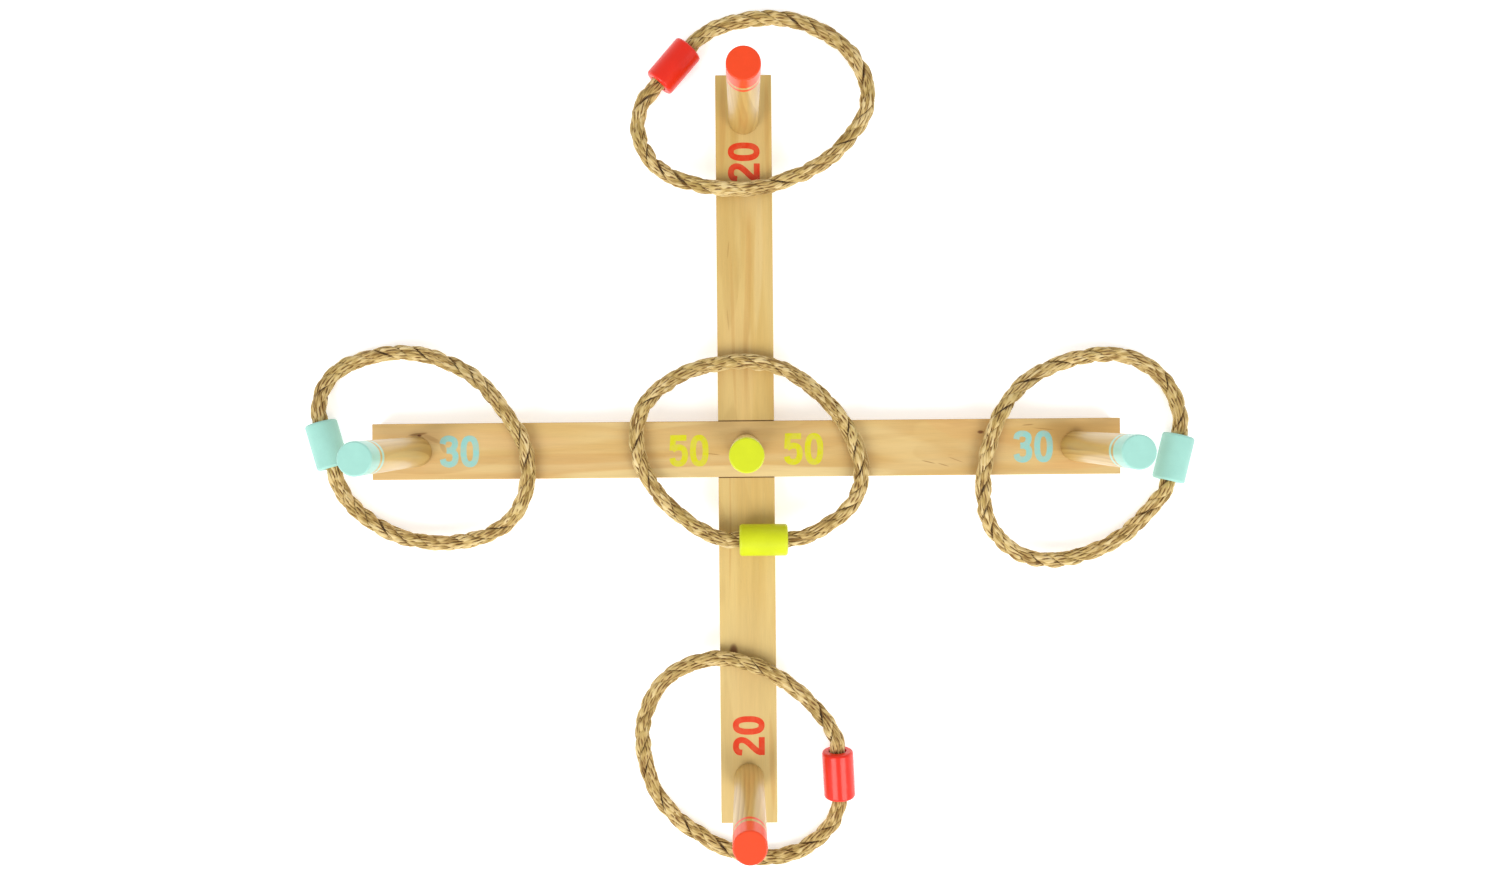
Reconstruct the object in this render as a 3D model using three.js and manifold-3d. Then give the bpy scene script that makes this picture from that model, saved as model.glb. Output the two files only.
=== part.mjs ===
// Ring toss set: two planks halved into a flat cross, five screw-in pegs and five rope rings.
// Millimetres, +Z up. The origin is the middle of the cross's underside, on the surface that it
// stands on; +X runs along the upper plank and +Y along the lower one.

import * as THREE from 'three';
import { mergeVertices } from 'three/addons/utils/BufferGeometryUtils.js';
import Module from 'manifold-3d';

const wasm = await Module();
wasm.setup();

// Driving dimensions.
const PLANK_LENGTH = 600;
const PLANK_WIDTH = 45;
const PLANK_THICK = 20;
const LAP_GAP = 0.3;             // clearance on each face of the halving joint

const PEG_DIAMETER = 24;
const PEG_HEIGHT = 140;          // above the planks
const PEG_FROM_END = 36;         // from a plank's end to a peg's axis
const PEG_EDGE = 1.2;            // rounding of a peg's top edge
const PEG_SEAT_GAP = 0.2;

const STUD_DIAMETER = 6;         // hanger bolt: wood screw up in the peg, machine thread below
const STUD_IN_PEG = 24;
const STUD_BELOW_PEG = 17;
const THREAD_GAP = 0.3;          // radial room that stands for each thread's depth

const INSERT_DIAMETER = 9.4;
const INSERT_HOLE = 10;
const OUTER_INSERT_LENGTH = 12;
const CENTRE_INSERT_LENGTH = 7.6;
const STUD_HOLE = 7;
const FLOOR_UNDER_STUD = 2;      // wood left below each blind hole
const INSERT_SINK = 0.2;         // an insert's top lies this far below the wood's face

const ROPE_DIAMETER = 12;
const ROPE_SIDES = 10;
const ROPE_STEPS = 30;
const ROPE_ENDS_APART = 2;       // between a ring's two rope ends, in the middle of its bead
const BEAD_DIAMETER = 25;
const BEAD_LENGTH = 38;
const BEAD_BORE = 14;
const BEAD_EDGE = 2;

const ROUND_SIDES = 32;
const SMALL_SIDES = 16;
const EDGE_STEPS = 3;

const PEG_OFFSET = PLANK_LENGTH / 2 - PEG_FROM_END;
const LAP_LEVEL = PLANK_THICK / 2;
const LAP_WIDTH = PLANK_WIDTH + 2 * LAP_GAP;

// Each place on the cross, and the paint of its peg's top and its ring's bead.
const PLACES = {
  centre: { at: [0, 0], paint: 0xdceb2d },
  north: { at: [0, PEG_OFFSET], paint: 0xf4502f },
  south: { at: [0, -PEG_OFFSET], paint: 0xf4502f },
  east: { at: [PEG_OFFSET, 0], paint: 0xb4e8da },
  west: { at: [-PEG_OFFSET, 0], paint: 0xb4e8da },
};

// Each ring as it lies: its bead's middle, the way the bead points, clockwise along the rope as
// seen from above, as a turn about +Z and a rise in degrees, and the rope's route from the bead's
// leading face round to its other face. The rope rests on the planks and on the ground.
const RINGS = {
  centre: {
    bead: [13, -71.5, 32.8],
    turn: 180,
    rise: 0,
    route: [
      [-18, -71, 31.6], [-32, -66, 30], [-46, -57.5, 28.8], [-58, -48, 27.8], [-69, -37, 27],
      [-77, -25, 26.4], [-84, -11, 26.3], [-87, 3, 26.3], [-87, 17, 26.3], [-83.5, 30, 26.2],
      [-76, 42, 25.5], [-65, 51.5, 25.2], [-51, 60, 25.5], [-36, 65.5, 26.1], [-20, 68.5, 26.3],
      [-3, 70, 26.3], [14, 68.5, 26.3], [29, 64, 26.1], [43, 56, 25.4], [56, 46, 25.1],
      [67, 35, 25.6], [76, 24, 26.3], [83, 11, 26.3], [88, -3, 26.3], [91, -16, 26.3],
      [90.5, -29, 26.6], [85.5, -41, 27.3], [76, -52, 28.4], [62, -61.5, 30], [47, -69, 31.6],
    ],
  },
  north: {
    bead: [-56, 310, 12.6],
    turn: 49,
    rise: 0,
    route: [
      [-35, 333, 11.4], [-24, 340.5, 9.5], [-10, 346, 7.3], [6, 349.5, 6.3], [24, 350.5, 6.2],
      [41, 348.5, 6.4], [57, 342.5, 7.2], [71, 334.5, 8.3], [84, 324, 9.6], [93, 311.5, 11],
      [99, 297, 12.6], [100.5, 283, 14.2], [98, 270, 15.9], [91, 257, 17.8], [80.5, 244, 20],
      [68, 232, 22.2], [52, 222, 24.6], [36, 215, 26.2], [20, 209.5, 26.3], [4, 207.5, 26.3],
      [-13, 207.5, 26.3], [-30, 209.5, 26.3], [-46, 213.5, 25.2], [-60, 219.5, 23.3],
      [-72, 229, 21.2], [-80, 241, 19], [-84.5, 255, 16.9], [-84.5, 269, 15], [-80.5, 281, 13.4],
    ],
  },
  south: {
    bead: [72.3, -263, 13.7],
    turn: 272.7,
    rise: -3,
    route: [
      [69, -300, 11], [61, -311.5, 9.2], [50, -321.5, 7.6], [37, -329, 6.6], [22, -332.5, 6.2],
      [6, -332.5, 6.2], [-10, -329, 6.3], [-26, -322.5, 6.7], [-41, -313, 7.5],
      [-55, -303, 8.5], [-66, -291, 9.5], [-75, -278, 10.7], [-80.5, -264, 12],
      [-84, -249, 13.5], [-85.5, -234, 15.2], [-84.5, -219, 17], [-80, -205, 18.9],
      [-73, -191.5, 21], [-63, -180.5, 23.1], [-50, -172.5, 25.2], [-37, -168, 26.3],
      [-22, -166.5, 26.3], [-7, -168.5, 26.3], [8, -173, 26.3], [22, -180.5, 26.3],
      [35, -189.5, 25.1], [47, -200.5, 22.6], [57, -212, 20.1], [64.5, -223, 17.8],
      [70, -233.5, 16],
    ],
  },
  east: {
    bead: [345.4, -10.3, 12.6],
    turn: 256,
    rise: 0,
    route: [
      [337.5, -38.5, 11.2], [331, -48, 8.8], [322, -58.5, 7.6], [311, -69, 8.1],
      [298, -77.5, 9.3], [284, -84, 10.7], [270, -88.5, 12.2], [255, -91.5, 13.8],
      [240, -91.5, 15.6], [226, -89, 17.5], [213.5, -83, 19.4], [203, -74.5, 21.3],
      [195, -64, 23.1], [190.5, -52, 24.8], [188.5, -39, 26.1], [188.5, -26, 26.3],
      [190, -13, 26.3], [192.5, -1, 26.3], [196.5, 12, 26.3], [202, 25, 26.2],
      [209.5, 36.5, 24.3], [219, 47.5, 22], [231, 56.5, 19.6], [246, 64, 17], [262, 69.5, 14.5],
      [279, 73, 12.2], [295, 74, 10.2], [311, 72, 8.2], [324, 66.5, 6.8], [335.5, 58.5, 6.2],
      [344.5, 48, 6.4], [350, 35.5, 7.8], [352, 21.5, 10.6],
    ],
  },
  west: {
    bead: [-339, 6, 12.6],
    turn: 105.8,
    rise: 0,
    route: [
      [-346.5, 37.5, 10.4], [-344, 50, 7.4], [-336.5, 62, 6.3], [-324, 70.5, 6.6],
      [-308, 76, 8.2], [-291, 79.5, 10.2], [-274, 80, 12.4], [-257, 77.5, 14.8],
      [-241, 72, 17.2], [-225, 64.5, 19.6], [-212.5, 55.5, 21.9], [-202.5, 45, 24.2],
      [-193.5, 33.5, 26], [-185.5, 22, 26.3], [-179, 10.5, 26.3], [-175, -1.5, 26.3],
      [-174, -14, 26.3], [-175, -27, 26.3], [-178.5, -39, 25.9], [-185, -50.5, 24.2],
      [-195, -60, 22.1], [-208.5, -67, 20], [-224, -71.5, 17.8], [-240, -73.5, 15.7],
      [-257, -73.5, 13.6], [-274, -70.5, 11.8], [-290, -65, 10.2], [-304, -57, 9],
      [-316.5, -47.5, 8.2], [-326, -35.5, 9], [-331.5, -23.5, 11.2],
    ],
  },
};

const WOOD = { roughness: 0.55, metalness: 0 };
const upperWood = new THREE.MeshStandardMaterial({ color: 0xd7ac70, ...WOOD });
const lowerWood = new THREE.MeshStandardMaterial({ color: 0xe0c184, ...WOOD });
const pegWood = new THREE.MeshStandardMaterial({ color: 0xd9b676, ...WOOD });
const steel = new THREE.MeshStandardMaterial({ color: 0xb9bcc0, roughness: 0.35, metalness: 1 });
const zinc = new THREE.MeshStandardMaterial({ color: 0xc8b878, roughness: 0.4, metalness: 1 });
const rope = new THREE.MeshStandardMaterial({ color: 0xc4a26a, roughness: 0.95, metalness: 0 });

const set = new THREE.Group();

function add(name, geometry, material) {
  const mesh = new THREE.Mesh(geometry, material);
  mesh.name = name;
  set.add(mesh);
  return mesh;
}

// A closed geometry as a solid for cutting.
function solid(geometry) {
  const bare = geometry.clone();
  bare.deleteAttribute('normal');
  bare.deleteAttribute('uv');
  const merged = mergeVertices(bare, 1e-4);
  return new wasm.Manifold(new wasm.Mesh({
    numProp: 3,
    vertProperties: new Float32Array(merged.attributes.position.array),
    triVerts: new Uint32Array(merged.index.array),
  }));
}

function geometryOf(manifold) {
  const mesh = manifold.getMesh();
  const geometry = new THREE.BufferGeometry();
  geometry.setAttribute('position', new THREE.BufferAttribute(mesh.vertProperties, 3));
  geometry.setIndex(new THREE.BufferAttribute(mesh.triVerts, 1));
  return geometry;
}

// An upright round bar between two levels.
function bar(diameter, low, high, [x, y] = [0, 0]) {
  const geometry = new THREE.CylinderGeometry(diameter / 2, diameter / 2, high - low, SMALL_SIDES);
  geometry.rotateX(Math.PI / 2);
  geometry.translate(x, y, (low + high) / 2);
  return geometry;
}

function block(alongX, alongY, low, high) {
  const geometry = new THREE.BoxGeometry(alongX, alongY, high - low);
  geometry.translate(0, 0, (low + high) / 2);
  return geometry;
}

// A lathe about +Z from radius and height pairs.
function turned(profile, sides) {
  const points = profile.map(([radius, height]) => new THREE.Vector2(radius, height));
  const geometry = new THREE.LatheGeometry(points, sides);
  geometry.rotateX(Math.PI / 2);
  return geometry;
}

// Quarter-round corner of a profile, about a centre, from one angle to another in degrees.
function corner(radius, [cx, cy], from, to) {
  return Array.from({ length: EDGE_STEPS + 1 }, (_, i) => {
    const angle = THREE.MathUtils.degToRad(from + (to - from) * i / EDGE_STEPS);
    return [cx + radius * Math.cos(angle), cy + radius * Math.sin(angle)];
  });
}

function cut(geometry, cutters) {
  return geometryOf(cutters.reduce((left, tool) => left.subtract(solid(tool)), solid(geometry)));
}

// The blind hole for an outer peg: an insert's bore, and room below it for the stud's end.
function insertHole(at) {
  const shelf = PLANK_THICK - INSERT_SINK - OUTER_INSERT_LENGTH - INSERT_SINK;
  return [
    bar(INSERT_HOLE, shelf, PLANK_THICK + 1, at),
    bar(STUD_HOLE, FLOOR_UNDER_STUD, shelf + 1, at),
  ];
}

function addPlanks() {
  const { north, south, east, west } = PLACES;
  add('lower_plank', cut(block(PLANK_WIDTH, PLANK_LENGTH, 0, PLANK_THICK), [
    block(PLANK_WIDTH + 2, LAP_WIDTH, LAP_LEVEL - LAP_GAP / 2, PLANK_THICK + 1),
    bar(INSERT_HOLE, FLOOR_UNDER_STUD - INSERT_SINK, PLANK_THICK),
    ...insertHole(north.at),
    ...insertHole(south.at),
  ]), lowerWood);
  add('upper_plank', cut(block(PLANK_LENGTH, PLANK_WIDTH, 0, PLANK_THICK), [
    block(LAP_WIDTH, PLANK_WIDTH + 2, -1, LAP_LEVEL + LAP_GAP / 2),
    bar(STUD_HOLE, 0, PLANK_THICK + 1),
    ...insertHole(east.at),
    ...insertHole(west.at),
  ]), upperWood);
}

function addPeg(place, { at: [x, y] }) {
  const radius = PEG_DIAMETER / 2;
  const pilot = STUD_DIAMETER / 2 + THREAD_GAP;
  const foot = PLANK_THICK + PEG_SEAT_GAP;
  const peg = add(`peg_${place}`, turned([
    [0, STUD_IN_PEG + THREAD_GAP],
    [pilot, STUD_IN_PEG + THREAD_GAP],
    [pilot, 0],
    [radius, 0],
    ...corner(PEG_EDGE, [radius - PEG_EDGE, PEG_HEIGHT - PEG_SEAT_GAP - PEG_EDGE], 0, 90),
    [0, PEG_HEIGHT - PEG_SEAT_GAP],
  ], ROUND_SIDES), pegWood);
  peg.position.set(x, y, foot);

  const stud = bar(STUD_DIAMETER, foot - STUD_BELOW_PEG, foot + STUD_IN_PEG);
  add(`peg_stud_${place}`, stud, steel).position.set(x, y, 0);

  const centre = place === 'centre';
  const top = (centre ? LAP_LEVEL - LAP_GAP / 2 : PLANK_THICK) - INSERT_SINK;
  const length = centre ? CENTRE_INSERT_LENGTH : OUTER_INSERT_LENGTH;
  const inner = STUD_DIAMETER / 2 + THREAD_GAP;
  const outer = INSERT_DIAMETER / 2;
  const insert = turned(
    [[inner, 0], [outer, 0], [outer, length], [inner, length], [inner, 0]],
    SMALL_SIDES,
  );
  add(`threaded_insert_${place}`, insert, zinc).position.set(x, y, top - length);
}

// The way a bead points, as a unit vector.
function heading({ turn, rise }) {
  const t = THREE.MathUtils.degToRad(turn);
  const r = THREE.MathUtils.degToRad(rise);
  return new THREE.Vector3(Math.cos(t) * Math.cos(r), Math.sin(t) * Math.cos(r), Math.sin(r));
}

function addRing(place, ring, paint) {
  const middle = new THREE.Vector3(...ring.bead);
  const ahead = heading(ring);
  const alongBead = (distance) => middle.clone().addScaledVector(ahead, distance);
  const half = BEAD_LENGTH / 2;
  const end = ROPE_ENDS_APART / 2;

  const path = new THREE.CatmullRomCurve3([
    alongBead(end),
    alongBead(half / 2),
    alongBead(half),
    ...ring.route.map((point) => new THREE.Vector3(...point)),
    alongBead(-half),
    alongBead(-half / 2),
    alongBead(-end),
  ], false, 'centripetal');
  const section = new THREE.Shape(Array.from({ length: ROPE_SIDES }, (_, i) => {
    const angle = 2 * Math.PI * i / ROPE_SIDES;
    const radius = ROPE_DIAMETER / 2;
    return new THREE.Vector2(radius * Math.cos(angle), radius * Math.sin(angle));
  }));
  add(`ring_rope_${place}`, new THREE.ExtrudeGeometry(section, {
    steps: ROPE_STEPS,
    extrudePath: path,
    bevelEnabled: false,
  }), rope);

  const outer = BEAD_DIAMETER / 2;
  const bore = BEAD_BORE / 2;
  const bead = add(`ring_bead_${place}`, turned([
    [bore, half],
    [bore, -half],
    ...corner(BEAD_EDGE, [outer - BEAD_EDGE, BEAD_EDGE - half], -90, 0),
    ...corner(BEAD_EDGE, [outer - BEAD_EDGE, half - BEAD_EDGE], 0, 90),
    [bore, half],
  ], ROUND_SIDES), new THREE.MeshStandardMaterial({ color: paint, roughness: 0.35, metalness: 0 }));
  bead.position.copy(middle);
  bead.quaternion.setFromUnitVectors(new THREE.Vector3(0, 0, 1), ahead);
}

addPlanks();
for (const [place, spot] of Object.entries(PLACES)) {
  addPeg(place, spot);
  addRing(place, RINGS[place], spot.paint);
}

export default set;
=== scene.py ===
"""Ring toss set: a flat cross of two halved planks, five screw-in pegs and five rope rings.

Metres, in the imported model's frame: +Z up, the cross's underside at z = 0, +X along the upper
plank and +Y along the lower one. The first block of lengths, and the rings' routes, repeat the CAD
source's numbers.
"""

import math
import random

import bmesh
import bpy
import numpy as np
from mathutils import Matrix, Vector
from mathutils.geometry import delaunay_2d_cdt


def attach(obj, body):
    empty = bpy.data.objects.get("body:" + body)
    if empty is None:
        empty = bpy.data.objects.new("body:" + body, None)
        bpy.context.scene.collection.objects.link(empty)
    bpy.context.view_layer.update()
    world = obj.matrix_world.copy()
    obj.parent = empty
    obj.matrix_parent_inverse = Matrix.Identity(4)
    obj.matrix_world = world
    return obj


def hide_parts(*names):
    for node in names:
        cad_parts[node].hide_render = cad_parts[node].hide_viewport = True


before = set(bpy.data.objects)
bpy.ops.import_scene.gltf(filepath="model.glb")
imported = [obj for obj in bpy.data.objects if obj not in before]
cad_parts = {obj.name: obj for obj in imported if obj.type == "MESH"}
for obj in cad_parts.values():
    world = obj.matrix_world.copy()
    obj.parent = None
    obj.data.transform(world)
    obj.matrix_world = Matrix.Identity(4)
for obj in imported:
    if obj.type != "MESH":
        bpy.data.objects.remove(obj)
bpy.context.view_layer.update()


def mm(value):
    """Millimetres as metres, for one number or for points."""
    return np.asarray(value, float) / 1000 if np.ndim(value) else value / 1000


# The CAD source's dimensions.
PLANK_LENGTH = mm(600)
PLANK_WIDTH = mm(45)
PLANK_THICK = mm(20)
LAP_GAP = mm(0.3)
PEG_RADIUS = mm(12)
PEG_TOP = mm(160)
PEG_FOOT = mm(20.2)
PEG_EDGE = mm(1.2)
PEG_OFFSET = mm(264)
STUD_RADIUS = mm(3)
STUD_LOW = mm(3.2)
STUD_HIGH = mm(44.2)
PILOT_RADIUS = mm(3.3)
PILOT_TOP = mm(44.5)
INSERT_HOLE_RADIUS = mm(5)
STUD_HOLE_RADIUS = mm(3.5)
FLOOR_UNDER_STUD = mm(2)
OUTER_INSERT = (mm(7.8), mm(19.8))
CENTRE_INSERT = (mm(2.05), mm(9.65))
INSERT_SINK = mm(0.2)
ROPE_DIAMETER = mm(12)
BEAD_RADIUS = mm(12.5)
BEAD_HALF = mm(19)
BORE_RADIUS = mm(7)
ROPE_END = mm(1)

PLACES = {
    "centre": {"at": (0.0, 0.0), "paint": "lime", "seed": 11},
    "north": {"at": (0.0, PEG_OFFSET), "paint": "red", "seed": 23},
    "south": {"at": (0.0, -PEG_OFFSET), "paint": "red", "seed": 35},
    "east": {"at": (PEG_OFFSET, 0.0), "paint": "mint", "seed": 47},
    "west": {"at": (-PEG_OFFSET, 0.0), "paint": "mint", "seed": 59},
}

# The CAD source's routes, in millimetres: where each bead lies, the way it points as a turn about
# +Z and a rise in degrees, and the rope's line from the bead's leading face to its other one.
RINGS = {
    "centre": {"bead": (13, -71.5, 32.8), "turn": 180, "rise": 0, "route": [
        (-18, -71, 31.6), (-32, -66, 30), (-46, -57.5, 28.8), (-58, -48, 27.8), (-69, -37, 27),
        (-77, -25, 26.4), (-84, -11, 26.3), (-87, 3, 26.3), (-87, 17, 26.3), (-83.5, 30, 26.2),
        (-76, 42, 25.5), (-65, 51.5, 25.2), (-51, 60, 25.5), (-36, 65.5, 26.1), (-20, 68.5, 26.3),
        (-3, 70, 26.3), (14, 68.5, 26.3), (29, 64, 26.1), (43, 56, 25.4), (56, 46, 25.1),
        (67, 35, 25.6), (76, 24, 26.3), (83, 11, 26.3), (88, -3, 26.3), (91, -16, 26.3),
        (90.5, -29, 26.6), (85.5, -41, 27.3), (76, -52, 28.4), (62, -61.5, 30), (47, -69, 31.6),
    ]},
    "north": {"bead": (-56, 310, 12.6), "turn": 49, "rise": 0, "route": [
        (-35, 333, 11.4), (-24, 340.5, 9.5), (-10, 346, 7.3), (6, 349.5, 6.3), (24, 350.5, 6.2),
        (41, 348.5, 6.4), (57, 342.5, 7.2), (71, 334.5, 8.3), (84, 324, 9.6), (93, 311.5, 11),
        (99, 297, 12.6), (100.5, 283, 14.2), (98, 270, 15.9), (91, 257, 17.8), (80.5, 244, 20),
        (68, 232, 22.2), (52, 222, 24.6), (36, 215, 26.2), (20, 209.5, 26.3), (4, 207.5, 26.3),
        (-13, 207.5, 26.3), (-30, 209.5, 26.3), (-46, 213.5, 25.2), (-60, 219.5, 23.3),
        (-72, 229, 21.2), (-80, 241, 19), (-84.5, 255, 16.9), (-84.5, 269, 15), (-80.5, 281, 13.4),
    ]},
    "south": {"bead": (72.3, -263, 13.7), "turn": 272.7, "rise": -3, "route": [
        (69, -300, 11), (61, -311.5, 9.2), (50, -321.5, 7.6), (37, -329, 6.6), (22, -332.5, 6.2),
        (6, -332.5, 6.2), (-10, -329, 6.3), (-26, -322.5, 6.7), (-41, -313, 7.5), (-55, -303, 8.5),
        (-66, -291, 9.5), (-75, -278, 10.7), (-80.5, -264, 12), (-84, -249, 13.5),
        (-85.5, -234, 15.2), (-84.5, -219, 17), (-80, -205, 18.9), (-73, -191.5, 21),
        (-63, -180.5, 23.1), (-50, -172.5, 25.2), (-37, -168, 26.3), (-22, -166.5, 26.3),
        (-7, -168.5, 26.3), (8, -173, 26.3), (22, -180.5, 26.3), (35, -189.5, 25.1),
        (47, -200.5, 22.6), (57, -212, 20.1), (64.5, -223, 17.8), (70, -233.5, 16),
    ]},
    "east": {"bead": (345.4, -10.3, 12.6), "turn": 256, "rise": 0, "route": [
        (337.5, -38.5, 11.2), (331, -48, 8.8), (322, -58.5, 7.6), (311, -69, 8.1), (298, -77.5, 9.3),
        (284, -84, 10.7), (270, -88.5, 12.2), (255, -91.5, 13.8), (240, -91.5, 15.6),
        (226, -89, 17.5), (213.5, -83, 19.4), (203, -74.5, 21.3), (195, -64, 23.1),
        (190.5, -52, 24.8), (188.5, -39, 26.1), (188.5, -26, 26.3), (190, -13, 26.3),
        (192.5, -1, 26.3), (196.5, 12, 26.3), (202, 25, 26.2), (209.5, 36.5, 24.3), (219, 47.5, 22),
        (231, 56.5, 19.6), (246, 64, 17), (262, 69.5, 14.5), (279, 73, 12.2), (295, 74, 10.2),
        (311, 72, 8.2), (324, 66.5, 6.8), (335.5, 58.5, 6.2), (344.5, 48, 6.4), (350, 35.5, 7.8),
        (352, 21.5, 10.6),
    ]},
    "west": {"bead": (-339, 6, 12.6), "turn": 105.8, "rise": 0, "route": [
        (-346.5, 37.5, 10.4), (-344, 50, 7.4), (-336.5, 62, 6.3), (-324, 70.5, 6.6), (-308, 76, 8.2),
        (-291, 79.5, 10.2), (-274, 80, 12.4), (-257, 77.5, 14.8), (-241, 72, 17.2),
        (-225, 64.5, 19.6), (-212.5, 55.5, 21.9), (-202.5, 45, 24.2), (-193.5, 33.5, 26),
        (-185.5, 22, 26.3), (-179, 10.5, 26.3), (-175, -1.5, 26.3), (-174, -14, 26.3),
        (-175, -27, 26.3), (-178.5, -39, 25.9), (-185, -50.5, 24.2), (-195, -60, 22.1),
        (-208.5, -67, 20), (-224, -71.5, 17.8), (-240, -73.5, 15.7), (-257, -73.5, 13.6),
        (-274, -70.5, 11.8), (-290, -65, 10.2), (-304, -57, 9), (-316.5, -47.5, 8.2),
        (-326, -35.5, 9), (-331.5, -23.5, 11.2),
    ]},
}


def add_object(name, data):
    made = bpy.data.objects.new(name, data)
    bpy.context.scene.collection.objects.link(made)
    return made


# ---- camera

def add_camera():
    """The photograph's view: straight down over the cross, from a little north of its middle."""
    data = bpy.data.cameras.new("photo_camera")
    camera = add_object("photo_camera", data)
    camera.location = (mm(-1.6), mm(27.3), mm(884))
    camera.rotation_euler = (0, 0, math.radians(-0.5))
    data.sensor_width = 36
    data.lens = 25.86
    data.shift_x = 0.004
    data.shift_y = -0.0167
    data.clip_start = 0.01
    bpy.context.scene.camera = camera


# ---- meshes

def add_piece(name, mesh, body, material, replaced=(), sharp=35):
    """One visible piece: shaded smooth up to an angle, riding on a body, with its finish."""
    piece = add_object(name, mesh)
    mesh.materials.clear()
    mesh.materials.append(material)
    mesh.polygons.foreach_set("use_smooth", [True] * len(mesh.polygons))
    mesh.set_sharp_from_angle(angle=math.radians(sharp))
    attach(piece, body)
    if replaced:
        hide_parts(*replaced)
    return piece


def mesh_from(name, verts, faces):
    mesh = bpy.data.meshes.new(name)
    mesh.from_pydata(np.asarray(verts).tolist(), [], faces)
    mesh.validate()
    return mesh


def mesh_of(name, bm):
    """The mesh of a finished bmesh."""
    mesh = bpy.data.meshes.new(name)
    bm.to_mesh(mesh)
    bm.free()
    return mesh


def even_flats(piece):
    """Keeps large flat faces flat beside their rounded edges."""
    weigh = piece.modifiers.new("flats", "WEIGHTED_NORMAL")
    weigh.keep_sharp = True
    weigh.weight = 100


def skin(rows, looped=False):
    """Vertices and faces over rows of points, each row closed round on itself.

    The first and last rows are joined to each other, or else capped."""
    rows = np.asarray(rows, float)
    count, around = rows.shape[:2]
    here = np.arange(count * around).reshape(count, around)
    beside = np.roll(here, -1, axis=1)
    first, second = slice(0, count - 1), slice(1, count)
    quads = [here[first], beside[first], beside[second], here[second]]
    faces = np.stack(quads, axis=-1).reshape(-1, 4).tolist()
    if looped:
        faces += np.stack([here[-1], beside[-1], beside[0], here[0]], axis=-1).tolist()
    else:
        faces += [here[0][::-1].tolist(), here[-1].tolist()]
    return rows.reshape(-1, 3), faces


def add_shell(name, rows, body, material, node, looped=False, sharp=35):
    """A piece skinned over rows of points, in place of one CAD node."""
    mesh = mesh_from(name, *skin(rows, looped))
    return add_piece(name, mesh, body, material, [node], sharp)


def joined(shapes):
    """Several (points, faces) as one."""
    points, faces, first = [], [], 0
    for more, more_faces in shapes:
        points.append(more)
        faces.extend([[i + first for i in face] for face in more_faces])
        first += len(more)
    return np.vstack(points), faces


def round_angles(count):
    return 2 * math.pi * np.arange(count) / count


def level_row(radius, height, angles, at):
    """A level row of points about a place; its radius may differ from point to point."""
    x, y = at[0] + radius * np.cos(angles), at[1] + radius * np.sin(angles)
    return np.stack([x, y, np.full(len(angles), height)], axis=-1)


def round_rows(profile, sides, at=(0.0, 0.0)):
    """Level circles, one for each (radius, height) of a profile."""
    angles = round_angles(sides)
    return np.array([level_row(radius, height, angles, at) for radius, height in profile])


def corner(radius, centre, start, end, steps=6):
    """Quarter-round points of a profile about a centre, from one angle to another in degrees."""
    angles = np.radians(np.linspace(start, end, steps + 1))
    return [(centre[0] + radius * math.cos(a), centre[1] + radius * math.sin(a)) for a in angles]


def catmull_rom(points, per_span=24):
    """A centripetal Catmull-Rom curve through points, as the CAD source draws its routes."""
    points = np.asarray(points, float)
    ends = [2 * points[0] - points[1], 2 * points[-1] - points[-2]]
    padded = np.vstack([ends[0], points, ends[1]])
    t = np.linspace(0, 1, per_span, endpoint=False)[:, None]
    spans = []
    for p0, p1, p2, p3 in zip(padded, padded[1:], padded[2:], padded[3:]):
        d0, d1, d2 = (math.sqrt(np.linalg.norm(b - a)) for a, b in ((p0, p1), (p1, p2), (p2, p3)))
        m1 = ((p1 - p0) / d0 - (p2 - p0) / (d0 + d1) + (p2 - p1) / d1) * d1
        m2 = ((p2 - p1) / d1 - (p3 - p1) / (d1 + d2) + (p3 - p2) / d2) * d1
        c2 = 3 * (p2 - p1) - 2 * m1 - m2
        c3 = 2 * (p1 - p2) + m1 + m2
        spans.append(p1 + m1 * t + c2 * t**2 + c3 * t**3)
    return np.vstack([*spans, points[-1:]])


def even_steps(line, step):
    """A line's points again, evenly spaced, with the distance along it to each."""
    gaps = np.linalg.norm(np.diff(line, axis=0), axis=1)
    along = np.concatenate([[0], np.cumsum(gaps)])
    count = int(round(along[-1] / step)) + 1
    wanted = np.linspace(0, along[-1], count)
    return np.stack([np.interp(wanted, along, line[:, i]) for i in range(3)], axis=-1), wanted


def frames_along(line):
    """Each point's direction and two cross directions that turn as little as possible."""
    ahead = np.gradient(line, axis=0)
    ahead /= np.linalg.norm(ahead, axis=1)[:, None]
    side = np.cross(ahead[0], (0, 0, 1))
    sides = []
    for direction in ahead:
        side = side - direction * np.dot(side, direction)
        side /= np.linalg.norm(side)
        sides.append(side)
    sides = np.array(sides)
    return ahead, sides, np.cross(ahead, sides)


# ---- shaders

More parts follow.
